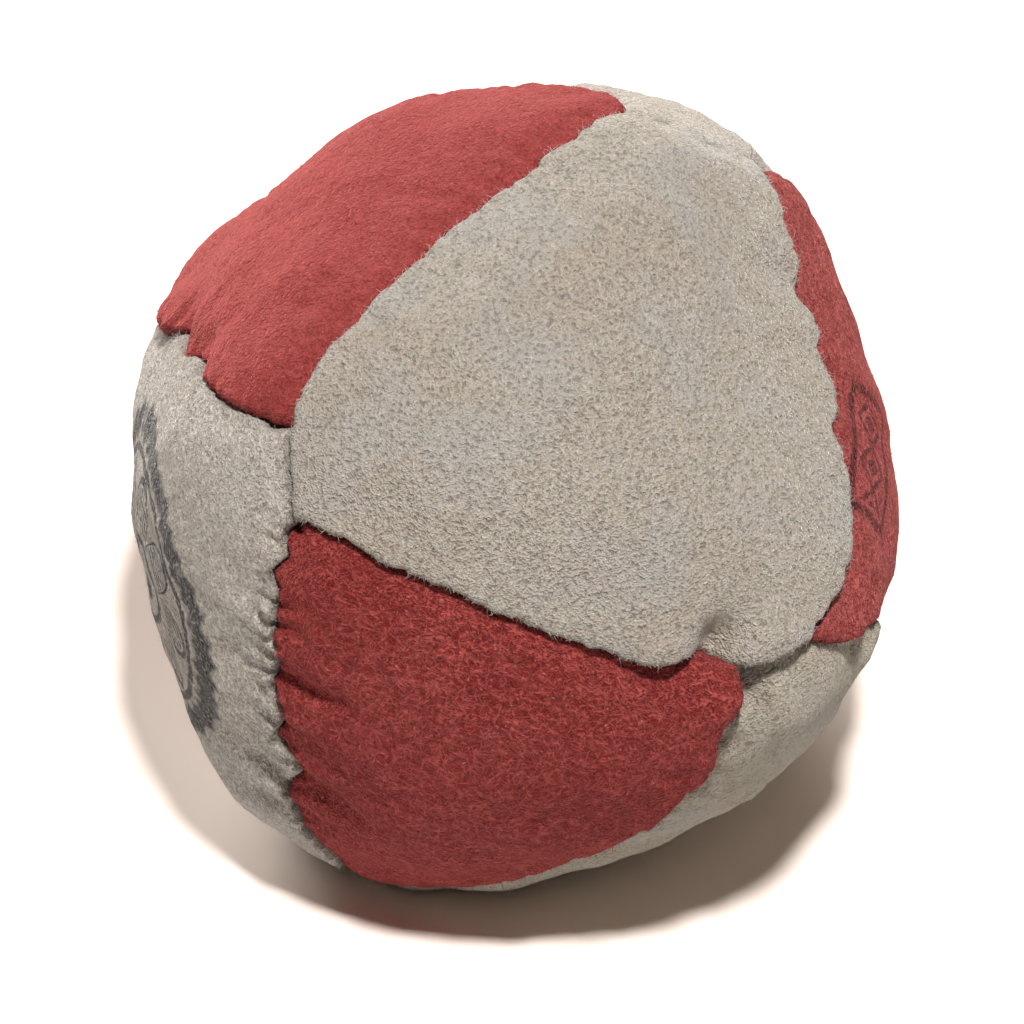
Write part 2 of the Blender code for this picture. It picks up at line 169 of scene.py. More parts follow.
# Folds and dimples of a panel: points or the seam they follow, half-width, height, and how much
# of it is left at each end
FOLDS = {
    "grey_front": (
        (((29.2, 11.2), (30.8, 13.8), (33, 16)), 1.55, -2.25, 1, 0.3),
        (((30, 13), (35.5, 17), (41, 19.5)), 1.9, -0.5, 1, 0),
        (((35, 13.5), (41, 12.5)), 2.2, 0.5, 1, 0.3), (((22, 16.5), (26, 15.8)), 1.6, 0.4, 0.5, 1),
        (((94.5, 40), (93, 49), (92.5, 56)), 1.4, -0.6, 1, 0), (((113, 51), (120, 46)), 2.6, 0.4, 0.5, 1)),
    "grey_left": (
        (((-44, 27.5), (-39, 27.7), (-36.5, 27)), 0.55, -0.5, 0, 1),
        (((-50, 3.5), (-41, 7), (-36, 7)), 1.4, -0.45, 0, 1),
        (((-47, -17), (-44, -18.5), (-36.5, -18)), 0.9, -0.6, 0, 1),
        (((-42.5, 21), (-36.5, 19)), 0.6, -0.35, 0, 1), (((-43, 14.5), (-37, 13)), 0.6, -0.4, 0, 1),
        (((-42.5, 0), (-36, 1.5)), 0.6, -0.4, 0, 1), (((-41, -9), (-35.5, -10)), 0.6, -0.45, 0, 1),
        (((-60, -29), (-54, -33)), 4.5, 0.8, 1, 1)),
    "red_front": (
        (((-36.5, 5.5), (-30, 4.5), (-24, 4)), 0.9, -0.5, 1, 0),
        (((-35, -16.5), (-29.5, -19.5), (-22, -23.5)), 0.9, -0.6, 1, 0),
        (((-36, -8), (-29, -6.5)), 0.8, -0.25, 1, 0), (((-36.5, 14), (-30, 13.5)), 0.7, -0.3, 1, 0),
        (((-35.5, 10.5), (-28, 10)), 1.2, 0.3, 1, 0), (((-34.5, -2), (-27, -2)), 1.4, 0.35, 1, 0),
        (((-34, -12.5), (-27, -14)), 1.4, 0.35, 1, 0), (((-38, 31), (-37, 30)), 0.5, -0.8, 1, 0.5),
        (((21.5, 16), (22.5, 9.5)), 1.1, -0.25, 1, 0), (((26, 14), (27.5, 8.5)), 0.9, -0.3, 1, 0),
        (((31, 9.5), (30.5, 6)), 1.8, 0.6, 1, 0.6)),
    "grey_base": (
        (((31.5, 10.5), (34.5, 8.5), (35.5, 5)), 1.5, -1.5, 1, 0.4), ("CD", 2.2, -0.3, 1, 0.1),
        (((37.5, 7.5), (39, 3), (41, -4)), 1.2, 0.6, 0.6, 0),
        (((41.5, 6), (43.5, 0.5)), 1.5, -0.35, 1, 0), (((29.5, -1), (35.5, -2.2)), 0.35, -0.35, 1, 0),
        (((31, 4), (34.5, 3.4)), 0.4, -0.4, 1, 0), (((61, -5.5), (66, -4)), 1.6, 0.8, 0.6, 1)),
    "red_right": (
        (((63.5, 8.5), (59.5, 7), (53.5, 3.5)), 0.8, 0.95, 0.2, 1),
        (((66.5, 5), (61, 3), (57, 0.5)), 0.8, -1.05, 0.2, 1), (((70, 2), (65, -1.5)), 1.6, 0.4, 0.5, 1),
        (((80, -6), (85, -9)), 3.6, 0.55, 1, 1), (((117, 30), (121, 36)), 3.4, 0.6, 1, 1),
        (((122, 42), (127, 35)), 2.4, 0.45, 0.4, 1)),
    "red_top": (
        (((-101, 32), (-93, 28.5)), 0.7, -0.5, 0, 1), (((-88, 39.5), (-78, 35.5)), 0.8, -0.5, 0, 1),
        (((-114, 21), (-106, 18.5)), 0.7, -0.5, 0, 1), (((-51.5, 52), (-48.5, 45.5)), 0.9, -0.3, 0, 1),
        (((-57, 41), (-47, 43.8)), 0.8, -0.6, 0.2, 1), (((158, 57), (172, 56)), 4, 0.35, 1, 1),
        (((-140, 40), (-158, 47)), 5, 0.7, 1, 1), (((-106, 19), (-110, 22)), 2.6, 0.55, 1, 1)),
    "grey_back": (
        ("EF", 4, -0.6, 1, 1), ("IF", 4, -0.5, 0.3, 1), (((134, 39), (128, 35.5)), 2.6, 0.75, 0.5, 1),
        (((165, 47), (156, 45.4), (142, 41.3)), 3, 1, 1, 0.6)),
}
# Share of a fold's length over which its ends fade, and spacing of its samples in half-widths
FOLD_END = 0.4
FOLD_SAMPLE = 0.3

# Spacing of the pleats at a seam, and the ranges in which each one's place, strength and slant lie
PLEAT_PITCHES = {"KB": 1.6, "AI": 1.9, "CK": 2.3, "DE": 2.2, "AB": 1.5, "BC": 3}
USUAL_PLEAT_PITCH = 2.7
FIRST_PLEAT = (0.4, 0.7)
PLEAT_STEPS = (0.7, 1.3)
LAST_PLEAT = 0.25
PLEAT_STRENGTHS = (0.2, 1.35)
PLEAT_SLANTS = (-0.45, 0.45)
# Half-width of a pleat at the seam, and how much it widens with distance
PLEAT_WIDTH = 0.3
PLEAT_SPREAD = 0.2

# Valley along a seam: its depth and reach
VALLEYS = {"AB": 0.08, "CD": 0.2, "KB": 0.22, "BC": 0.22, "EF": 0.1}
USUAL_VALLEY = 0.28
VALLEY_REACH = 2.6
# The upper panel of a lap stands proud near the seam: height, place and reach. The lower one sinks.
PROUD = (0.3, 0.6, 1.4)
SUNK = (0.6, 1.6)
# Swelling between puckers, fine roughness of a lip, and its reach
PUCKER_SWELL = 0.35
LIP_ROUGHNESS = 0.03
LIP_ROUGHNESS_REACH = 0.8
LIP_WAVELENGTH = 0.8
# How far a lip is drawn sideways by its lap, its pleats and its roughness, and how far in that reaches
LAP_PULL = -0.3
PLEAT_PULL = 0.2
ROUGH_PULL = 0.05
PULL_REACH = 0.9
# Radius of the rolled edge on the upper and the lower panel, and shares of it at some seams
TOP_ROLL = 0.42
UNDER_ROLL = 0.62
ROLL_SHARES = {"AB": 0.5}
# Where a seam gapes at its first end: how far the panel's edge draws back, and where the gap closes
OPENINGS = {"AI": {"grey_left": (0.45, 4.5)}}
# Low waves of the skin: height, wavelength, how many, and whether they fade out at the seams
SKIN_WAVES = ((0.09, 7.0, 32, True), (0.035, 2.6, 32, True), (0.012, 1.1, 48, False))
CALM_REACH = 1.5

# Depth of the turned-in allowance, the suede's thickness, and half the gap between two panels
ALLOWANCE_DEPTH = 4.3
THICKNESS = 1.2
HALF_GAP = 0.08
DEEP_HALF_GAP = 0.03
GAP_REACH = 0.5
# Depths between which an allowance leaves the lip's strays and follows the plain seam
LIP_DEPTHS = (0.75, 1.6)
# Depth of the ring half-way up the inner side of the allowance, as a share of its depth
INNER_STEP = 0.66

# Fineness of a panel's mesh: step along the seams, distances of its rings from them, and how many
# rings there are further in. The inner side has its own.
BORDER_STEP = 0.2
LEVELS = (0, 0.04, 0.09, 0.15, 0.22, 0.3, 0.4, 0.52, 0.68, 0.88, 1.1, 1.4, 1.8, 2.3, 2.9, 3.6)
INNER_LEVELS = (1.35, 2, 3, 4.5)
ALLOWANCE_STEPS = (0.08, 0.18, 0.32, 0.5, 0.75, 1)
MIDDLE_RINGS = 20
INNER_MIDDLE_RINGS = 6
SPOKE_SAMPLES = 90
SPOKE_EASE = 1.7

# Middle of the print on a panel, and its turn in degrees
PRINTS = {"grey_left": ((-77, -4), 0), "red_right": ((80, 17), 24)}

# The cloth simulation: fineness of the skin, its size at the start, the seams with gathered cloth
# and how far that reaches, and how much of the result is kept
SKIN_SUBDIVISIONS = 6
SKIN_START = 0.985
GATHERED_SEAMS = ("KB", "AI", "CK", "GD")
GATHER_REACH = 5.0
SKIN_CAP = 0.5
SKIN_SWELL_SHARE = 0.1
SIMULATION_SCALE = 10
SIMULATION_FRAMES = 20
CLOTH = {"quality": 6, "vertex_group_mass": "held", "use_pressure": True, "uniform_pressure_force": 4.0,
         "vertex_group_shrink": "full", "shrink_min": -0.02, "shrink_max": -0.08}
# Depth and reach of the valleys in the skin that is simulated, its first ripples, and how near a
# seam it is held
START_VALLEY = (0.5, 1.4)
START_RIPPLES = (0.05, 3.4, 77, 48)
HELD_REACH = 0.62
SWELL_BLURS = 24
# How much of the creases is left far from the seams, and how far theirs reach
FAR_CREASES = 0.25
CREASE_REACH = 4.0
# Width over which the nearest simulated heights are mixed
SKIN_BLUR = 0.6


def unit(vectors):
    return vectors / np.linalg.norm(vectors, axis=-1, keepdims=True)


def aim(angles):
    """Unit vector of a turn and a height."""
    turn, height = (math.radians(angle) for angle in angles)
    level = math.cos(height)
    return np.array([level * math.sin(turn), -level * math.cos(turn), math.sin(height)])


def bell(values, width):
    return np.exp(-(values / width) ** 2)


def bag_radius(aims):
    """Distance from the centre to the skin before the seams are drawn in, flat on the floor."""
    total = np.zeros(aims.shape[:-1])
    for corners, middle, reach in PANELS.values():
        total += (np.maximum(0.0, aims @ aim(middle)) / reach) ** ROUNDNESS
    radius = BAG_RADIUS / total ** (1 / ROUNDNESS)
    for turn, height, width, swell in SWELLS:
        spread = 1 - math.cos(math.radians(width))
        radius *= 1 + swell * np.exp(-(1 - aims @ aim((turn, height))) / spread)
    floor = CENTRE_HEIGHT / np.maximum(-aims[..., 2], LEAST_DOWN)
    least = np.minimum(radius, floor)
    ease = np.exp((least - radius) / FLOOR_EASE) + np.exp((least - floor) / FLOOR_EASE)
    return least - FLOOR_EASE * np.log(ease)


def skin_normals(aims):
    """Outward normals of the plain skin."""
    step = 0.004
    side = unit(np.cross(aims, np.roll(aims, 1, axis=-1)))
    up = np.cross(aims, side)
    points = [unit(aims + way * step) for way in (side, -side, up, -up)]
    points = [way * bag_radius(way)[..., None] for way in points]
    return unit(np.cross(points[0] - points[1], points[2] - points[3]))


def waves(points, wavelength, seed, count=32):
    """Smooth random heights around 0, with a spread of about 1."""
    rng = np.random.default_rng(seed)
    ways = unit(rng.normal(size=(count, 3)))
    lengths = wavelength * rng.uniform(0.75, 1.35, count)
    turns = rng.uniform(0, 2 * math.pi, count)
    total = np.sin(2 * math.pi * (points @ ways.T) / lengths + turns).sum(axis=-1)
    return total / math.sqrt(count / 2)


def smooth(low, high, values):
    """0 below low, 1 above high, and an easy slope between."""
    share = np.clip((values - low) / (high - low), 0.0, 1.0)
    return share * share * (3 - 2 * share)


def seam_track(arc, shift):
    """A line for noise along a seam, shifted so that each seam has its own."""
    return np.stack([arc, arc * 0, arc * 0 + shift], axis=1)


def wander(name, shares, arc, seed):
    """Sideways strays of a seam from its smooth line, fading out at the junctions."""
    track = seam_track(arc, 3.1 * seed)
    if name in WANDERS:
        places, offsets = np.reshape(WANDERS[name], (-1, 2)).T
        dense = np.linspace(0, 1, STRAY_SAMPLES)
        kernel = bell(np.arange(-BLUR_REACH, BLUR_REACH + 1), BLUR_WIDTH)
        level = np.pad(np.interp(dense, places, offsets), BLUR_REACH, mode="edge")
        stray = np.interp(shares, dense, np.convolve(level, kernel / kernel.sum(), "valid"))
    else:
        stray = USUAL_WANDER[0] * waves(track, USUAL_WANDER[1], seed, WANDER_WAVES)
    stray = stray + FINE_WANDER[0] * waves(track, FINE_WANDER[1], seed + 50, WANDER_WAVES)
    return stray * smooth(0, JUNCTION_FADE, arc) * smooth(0, JUNCTION_FADE, arc[-1] - arc)


def seam_line(name):
    """A seam's smooth line of directions, the vectors along and across it, its strays and its pleats."""
    first, last = (aim(JUNCTIONS[corner]) for corner in name)
    angle = math.acos(first @ last)
    once, twice = SEAM_BOWS.get(name, (0, 0))
    normal = unit(np.cross(first, last))

    def line(shares):
        straight = np.sin((1 - shares) * angle)[:, None] * first + np.sin(shares * angle)[:, None] * last
        bow = once * np.sin(math.pi * shares) + twice * np.sin(2 * math.pi * shares)
        return unit(straight / math.sin(angle) + normal * bow[:, None])

    steps = max(12, round(BAG_RADIUS * angle / BORDER_STEP))
    shares = np.linspace(0, 1, steps + 1)
    aims = line(shares)
    ahead = unit(line(shares + 0.001) - line(shares - 0.001))
    side = unit(np.cross(aims, ahead))
    points = aims * bag_radius(aims)[:, None]
    arc = np.concatenate([[0.0], np.cumsum(np.linalg.norm(np.diff(points, axis=0), axis=1))])
    seed = sorted(SEAM_NAMES).index(name) + 11
    rng = np.random.default_rng(seed)
    pitch = PLEAT_PITCHES.get(name, USUAL_PLEAT_PITCH)
    pleats = []
    place = pitch * rng.uniform(*FIRST_PLEAT)
    while place < arc[-1] - LAST_PLEAT * pitch:
        pleats.append((place, rng.uniform(*PLEAT_STRENGTHS), rng.uniform(*PLEAT_SLANTS)))
        place += pitch * rng.uniform(*PLEAT_STEPS)
    stray = wander(name, shares, arc, seed)
    border = unit(aims + side * stray[:, None] / BAG_RADIUS)
    return {"aims": aims, "border": border, "stray": stray, "side": side, "ahead": ahead, "arc": arc,
            "pleats": pleats, "seed": seed}


SEAMS = {name: seam_line(name) for name in SEAM_NAMES}


def seams_of(corners):
    """Names of a panel's seams in order, each with whether it runs forward round the panel."""
    found = []
    for start, end in zip(corners, corners[1:] + corners[0]):
        forward = start + end in SEAMS
        found.append((start + end if forward else end + start, forward))
    return found


def near_seams(aims, corners, middle):
    """For each direction and each seam of a panel: distance, length along it, and the way inwards."""
    distances, arcs, inwards, lengths = [], [], [], []
    radius = bag_radius(aims)
    for name, forward in seams_of(corners):
        seam = SEAMS[name]
        nearest = np.argmax(aims @ seam["aims"].T, axis=1)
        away = (aims - seam["aims"][nearest]) * radius[:, None]
        inward = 1 if seam["side"][len(seam["side"]) // 2] @ middle >= 0 else -1
        side = inward * seam["side"][nearest]
        along = (away * seam["ahead"][nearest]).sum(axis=1)
        across = (away * side).sum(axis=1)
        arc = seam["arc"][nearest] + along
        stray = inward * np.interp(arc, seam["arc"], seam["stray"])
        across = across - stray * np.exp(-np.maximum(across - stray, 0) / STRAY_REACH)
        before = np.where(nearest == 0, np.maximum(-along, 0), 0)
        after = np.where(nearest == len(seam["arc"]) - 1, np.maximum(along, 0), 0)
        distances.append(np.sqrt(np.maximum(across, 0) ** 2 + (before + after) ** 2))
        arcs.append(arc)
        inwards.append(side)
        lengths.append(seam["arc"][-1])
    return np.array(distances), np.array(arcs), np.array(inwards), lengths


def soft_least(distances):
    """Distance to the nearest seam, rounded off where two seams meet."""
    spread = 0.3
    least = distances.min(axis=0)
    return np.maximum(0.0, least - spread * np.log(np.exp((least - distances) / spread).sum(axis=0)))


def pucker_field(seam, arc, distance, reach):
    """Creases that lead into a panel from the stitches of a seam."""
    field = np.zeros_like(arc)
    for place, strength, slant in seam["pleats"]:
        field += strength * bell(arc - place - slant * distance, PLEAT_WIDTH + PLEAT_SPREAD * distance)
    return field * np.exp(-distance / reach)


def fold_field(aims, panel):
    """Height of the listed folds and dimples of a panel."""
    radius = bag_radius(aims)
    total = np.zeros(len(aims))
    for angles, width, height, first_share, last_share in FOLDS.get(panel, ()):
        along_seam = isinstance(angles, str)
        corners = SEAMS[angles]["aims"] if along_seam else np.array([aim(pair) for pair in angles])
        spans = np.linalg.norm(np.diff(corners, axis=0), axis=1)
        travelled = np.concatenate([[0.0], np.cumsum(spans)])
        count = max(6, int(travelled[-1] * BAG_RADIUS / (FOLD_SAMPLE * width)))
        shares = np.linspace(0, 1, count)
        places = shares * travelled[-1]
        line = [np.interp(places, travelled, corners[:, axis]) for axis in range(3)]
        line = unit(np.stack(line, axis=1))
        ends = np.minimum(first_share + shares / FOLD_END, last_share + (1 - shares) / FOLD_END)
        field = np.zeros(len(aims))
        for point, share in zip(line, smooth(0, 1, ends)):
            gap = np.linalg.norm(aims - point, axis=1) * radius
            field = np.maximum(field, share * bell(gap, width))
        total += height * field
    return total


def border_gap(aims, names):
    """Distance of each direction to the nearest of some seams, strays and all."""
    lines = np.concatenate([SEAMS[name]["border"] for name in names])
    return BAG_RADIUS * np.arccos(np.clip((aims @ lines.T).max(axis=1), -1, 1))


def simulated_swell():
    """How the filling swells and creases the sewn skin: a cloth simulation of the whole bag.

    The bag is simulated at ten times its size, with its seams held, its cloth cut a little too
    large and the pressure of the filling inside. Returned is a search tree of directions and the
    height at each."""
    grid = bmesh.new()
    bmesh.ops.create_icosphere(grid, subdivisions=SKIN_SUBDIVISIONS, radius=1.0)
    skin = bpy.data.meshes.new("skin_under_pressure")
    grid.to_mesh(skin)
    grid.free()
    count = len(skin.vertices)
    aims = np.empty(count * 3)
    skin.vertices.foreach_get("co", aims)
    aims = unit(aims.reshape(-1, 3))
    gap = border_gap(aims, SEAM_NAMES)
    fullness = np.exp(-border_gap(aims, GATHERED_SEAMS) / GATHER_REACH)
    height, wavelength, seed, number = START_RIPPLES
    radius = bag_radius(aims) * SKIN_START - START_VALLEY[0] * np.exp(-gap / START_VALLEY[1])
    radius += height * waves(aims * BAG_RADIUS, wavelength, seed, number) * smooth(0.5, 1.2, gap)
    scale = SIMULATION_SCALE * MM
    skin.vertices.foreach_set("co", (aims * radius[:, None] * scale).ravel())
    item = bpy.data.objects.new("skin_under_pressure", skin)
    bpy.context.scene.collection.objects.link(item)
    held = item.vertex_groups.new(name="held")
    held.add(np.nonzero(gap < HELD_REACH)[0].tolist(), 1.0, "REPLACE")
    full = item.vertex_groups.new(name="full")
    for index, share in enumerate(fullness):
        full.add([index], float(share), "REPLACE")
    cloth = item.modifiers.new("cloth", "CLOTH")
    for key, value in CLOTH.items():
        setattr(cloth.settings, key, value)
    cloth.settings.effector_weights.gravity = 0.0
    cloth.point_cache.frame_start = 1
    cloth.point_cache.frame_end = SIMULATION_FRAMES
    scene = bpy.context.scene
    for frame_number in range(1, SIMULATION_FRAMES + 1):
        scene.frame_set(frame_number)
    swollen = item.evaluated_get(bpy.context.evaluated_depsgraph_get()).to_mesh()
    places = np.empty(count * 3)
    swollen.vertices.foreach_get("co", places)
    moved = (places.reshape(-1, 3) / scale * aims).sum(axis=1) - radius
    scene.frame_set(1)
    ends = np.empty(len(skin.edges) * 2, dtype=int)
    skin.edges.foreach_get("vertices", ends)
    first, last = ends.reshape(-1, 2).T
    degree = np.bincount(ends, minlength=count)
    bpy.data.objects.remove(item)
    bpy.data.meshes.remove(skin)

    # The even swell is already in the bag's shape, so only the creases and a share of it are kept
    broad = moved.copy()
    for step in range(SWELL_BLURS):
        total = np.bincount(first, broad[last], count) + np.bincount(last, broad[first], count)
        broad = 0.5 * broad + 0.5 * total / degree
    crease = np.clip(moved - broad, -SKIN_CAP, SKIN_CAP)
    even = np.clip(SKIN_SWELL_SHARE * (broad - broad.mean()), -SKIN_CAP, SKIN_CAP)
    heights = (crease + even) * smooth(0.3, 1.5, gap)
    tree = KDTree(count)
    for index, way in enumerate(aims):
        tree.insert(way, index)
    tree.balance()
    return tree, heights * (FAR_CREASES + (1 - FAR_CREASES) * np.exp(-gap / CREASE_REACH))


skin_tree, skin_heights = simulated_swell()


def swell_of(aims):
    """Height that the cloth simulation gives at some directions."""
    if skin_tree is None:
        return np.zeros(len(aims))
    heights = np.empty(len(aims))
    for index, way in enumerate(aims):
        found = skin_tree.find_n(way, 5)
        shares = [math.exp(-(BAG_RADIUS * gap / SKIN_BLUR) ** 2) + 1e-9 for place, number, gap in found]
        total = sum(share * skin_heights[number] for share, (place, number, gap) in zip(shares, found))
        heights[index] = total / sum(shares)
    return heights


def panel_relief(panel, aims):
    """Skin of a panel at some directions: height, sideways pull, way inwards and distance to its edge."""
    corners, middle, reach = PANELS[panel]
    distances, arcs, inwards, lengths = near_seams(aims, corners, aim(middle))
    least = soft_least(distances)
    weights = np.exp((distances.min(axis=0) - distances) / 0.5)
    weights /= weights.sum(axis=0)
    inward = unit((weights[..., None] * inwards).sum(axis=0))
    height, pull, roll = np.zeros((3, len(aims)))
    rows = zip(seams_of(corners), distances, arcs, weights, lengths)
    for (name, forward), near, arc, weight, length in rows:
        seam = SEAMS[name]
        top, laps = LAPS[name]
        share = np.clip(arc / length, 0, 1)
        lap = np.interp(share, np.linspace(0, 1, len(laps)), laps)
        if top != panel:
            lap = -lap
        over = np.maximum(lap, 0)
        under = np.maximum(-lap, 0)
        depth, extent = PUCKERS.get(name, {}).get(panel, USUAL_PUCKER)
        pucker = pucker_field(seam, arc, near, extent)
        lip = np.zeros_like(arc)
        for place, strength, slant in seam["pleats"]:
            lip += strength * bell(arc - place, PLEAT_WIDTH)
        track = seam_track(arc, seam["seed"] * 7.1)
        rough = waves(track, LIP_WAVELENGTH, seam["seed"] + len(node_name(panel)), WANDER_WAVES)
        proud = PROUD[0] * over * bell(near - PROUD[1], PROUD[2])
        sunk = SUNK[0] * under * bell(near, SUNK[1])
        valley = VALLEYS.get(name, USUAL_VALLEY) * np.exp(-near / VALLEY_REACH)
        swell = PUCKER_SWELL * depth * np.exp(-near / extent)
        height += weight * (proud - sunk - valley - depth * pucker + swell)
        height += weight * LIP_ROUGHNESS * rough * np.exp(-near / LIP_ROUGHNESS_REACH)
        opening, closed_at = OPENINGS.get(name, {}).get(panel, (0, 1))
        lift = LAP_PULL * over + PLEAT_PULL * depth * lip + ROUGH_PULL * rough
        lift = lift + opening * (1 - smooth(0.3 * closed_at, closed_at, arc))
        pull += weight * lift * bell(near, PULL_REACH)
        plain_roll = TOP_ROLL + (UNDER_ROLL - TOP_ROLL) * np.clip(0.4 - 0.6 * lap, 0, 1)
        roll += weight * ROLL_SHARES.get(name, 1.0) * plain_roll
    inside = np.clip(roll - least, 0, None)
    drop = roll - np.sqrt(np.maximum(roll ** 2 - inside ** 2, 0))
    seed = sorted(PANELS).index(panel) * 10
    calm = 1 - np.exp(-least / CALM_REACH)
    points = aims * bag_radius(aims)[:, None]
    for number, (rise, wavelength, count, fading) in enumerate(SKIN_WAVES, 1):
        height += rise * waves(points, wavelength, seed + number, count) * (calm if fading else 1)
    height += fold_field(aims, panel) + swell_of(aims)
    return height - drop, pull, inward, least


def node_name(panel):
    return panel.replace("_", "_panel_")


def ring_shares(levels, distances, trial, count):
    """Shares of the way to the middle for rings at some distances from the seams, and further in."""
    shares = np.interp(levels, distances, trial)
    if levels[0] == 0:
        shares[0] = 0.0
    rest = shares[-1] + (1 - shares[-1]) * (np.arange(1, count + 1) / (count + 1))
    return np.concatenate([shares, rest])


def spoke_shares(panel, border, middle):
    """For each border direction, the shares of the way to the middle at which the rings lie."""
    trial = np.linspace(0, 1, SPOKE_SAMPLES) ** SPOKE_EASE
    aims = unit(border[:, None, :] * (1 - trial[None, :, None]) + middle * trial[None, :, None])
    distances = near_seams(aims.reshape(-1, 3), PANELS[panel][0], middle)[0]
    least = soft_least(distances).reshape(len(border), len(trial))
    least = np.maximum.accumulate(least, axis=1) + trial * 1e-6
    outer = [ring_shares(LEVELS, row, trial, MIDDLE_RINGS) for row in least]
    inner = [ring_shares(INNER_LEVELS, row, trial, INNER_MIDDLE_RINGS) for row in least]
    return np.array(outer), np.array(inner)


def make_mesh(name, points, faces, attributes=None):
    """A mesh object from points in millimetres about the bag's centre."""
    mesh = bpy.data.meshes.new(name)
    places = (np.asarray(points) + CENTRE_PLACE) * MM
    mesh.from_pydata(places.tolist(), [], faces)
    mesh.polygons.foreach_set("use_smooth", [True] * len(mesh.polygons))
    for title, values in (attributes or {}).items():
        values = np.asarray(values, dtype=np.float32)
        kind, key = ("FLOAT", "value") if values.ndim == 1 else ("FLOAT_VECTOR", "vector")
        mesh.attributes.new(title, kind, "POINT").data.foreach_set(key, values.ravel())
    mesh.update()
    thing = bpy.data.objects.new(name, mesh)
    bpy.context.scene.collection.objects.link(thing)
    return thing


def ring_faces(start, columns, rows):
    """Quads between rings of points."""
    faces = []
    for row in range(rows - 1):
        base = start + row * columns
        for column in range(columns):
            after = (column + 1) % columns
            faces.append((base + column, base + after, base + columns + after, base + columns + column))
    return faces


def make_panel(panel):
    """One suede panel: skin, rolled edge, turned-in allowance and inner side, as one closed mesh."""
    corners, middle, reach = PANELS[panel]
    middle = aim(middle)
    parts = []
    for name, forward in seams_of(corners):
        line = SEAMS[name]["border"]
        parts.append(line[:-1] if forward else line[::-1][:-1])
    border = np.concatenate(parts)
    if np.cross(border, np.roll(border, -1, axis=0)).sum(axis=0) @ middle < 0:
        border = border[::-1]
    outer, inner = spoke_shares(panel, border, middle)
    columns = len(border)
    level_zero = np.zeros(columns)

    def spoke_aims(shares):
        aims = unit(border[:, None, :] * (1 - shares[..., None]) + middle * shares[..., None])
        return aims.transpose(1, 0, 2).reshape(-1, 3)

    def placed(aims, height, pull, inward):
        radius = bag_radius(aims)[:, None]
        return aims * radius + skin_normals(aims) * height[:, None] + inward * pull[:, None]

    def rings_of(values):
        return [values[start:start + columns] for start in range(0, len(values), columns)]

    # Outer side, from the rolled edge to the middle
    aims = spoke_aims(outer)
    height, pull, inward, least = panel_relief(panel, aims)
    skin = placed(aims, height, pull + HALF_GAP * np.exp(-least / GAP_REACH), inward)
    rim_height, rim_pull, rim_inward = height[:columns], pull[:columns], inward[:columns]
    middle = middle[None, :]
    centre_height, centre_pull, centre_inward, centre_least = panel_relief(panel, middle)
    centre = placed(middle, centre_height, centre_pull * 0, centre_inward)

    # Allowance, down from the edge
    walls = []
    for step in ALLOWANCE_STEPS:
        level = rim_height + (-ALLOWANCE_DEPTH - rim_height) * step
        fade = 1 - smooth(*LIP_DEPTHS, -level)
        gap = DEEP_HALF_GAP + (HALF_GAP - DEEP_HALF_GAP) * fade
        walls.append(placed(border, level, rim_pull * fade + gap, rim_inward))

    # Inner side, up from the end of the allowance and in to the middle
    aims = spoke_aims(inner)
    height, pull, inward, inner_least = panel_relief(panel, aims)
    lining = placed(aims, height - THICKNESS, pull * 0, inward)
    for share in (1.0, INNER_STEP):
        level = np.full(columns, -share * ALLOWANCE_DEPTH)
        walls.append(placed(aims[:columns], level, level_zero, inward[:columns]))
    inner_centre = placed(middle, centre_height - THICKNESS, centre_pull * 0, centre_inward)

    # Rings in order: middle of the skin, out to the edge, down, across, up and in again
    rings = rings_of(skin)[::-1]
    marks = rings_of(least)[::-1]
    rings += walls + rings_of(lining)
    marks += [level_zero] * (len(rings) - len(marks))
    points = np.concatenate([centre] + rings + [inner_centre])
    marks = np.concatenate([centre_least] + marks + [[0.0]])
    points[:, 2] = np.maximum(points[:, 2], -CENTRE_HEIGHT)
    last = len(points) - 1
    base = last - columns
    faces = [(1 + column, 1 + (column + 1) % columns, 0) for column in range(columns)]
    faces += [face[::-1] for face in ring_faces(1, columns, len(rings))]
    faces += [(base + (column + 1) % columns, base + column, last) for column in range(columns)]
    attributes = {"seam_distance": marks}
    if panel in PRINTS:
        attributes["print_place"] = print_places(panel, points)
    return make_mesh(panel.replace("_", "_suede_"), points, faces, attributes)


def print_places(panel, points):
    """Places on a printed panel, right of and above the print's middle, and out from the bag's."""
    centre, tilt = PRINTS[panel]
    middle = aim(centre)
    right = unit(np.cross([0.0, 0.0, 1.0], middle))
    up = np.cross(middle, right)
    turn = math.radians(tilt)
    right, up = math.cos(turn) * right + math.sin(turn) * up, math.cos(turn) * up - math.sin(turn) * right
    return np.stack([points @ right, points @ up, points @ middle], axis=1)


pieces = {panel: make_panel(panel) for panel in PANELS}


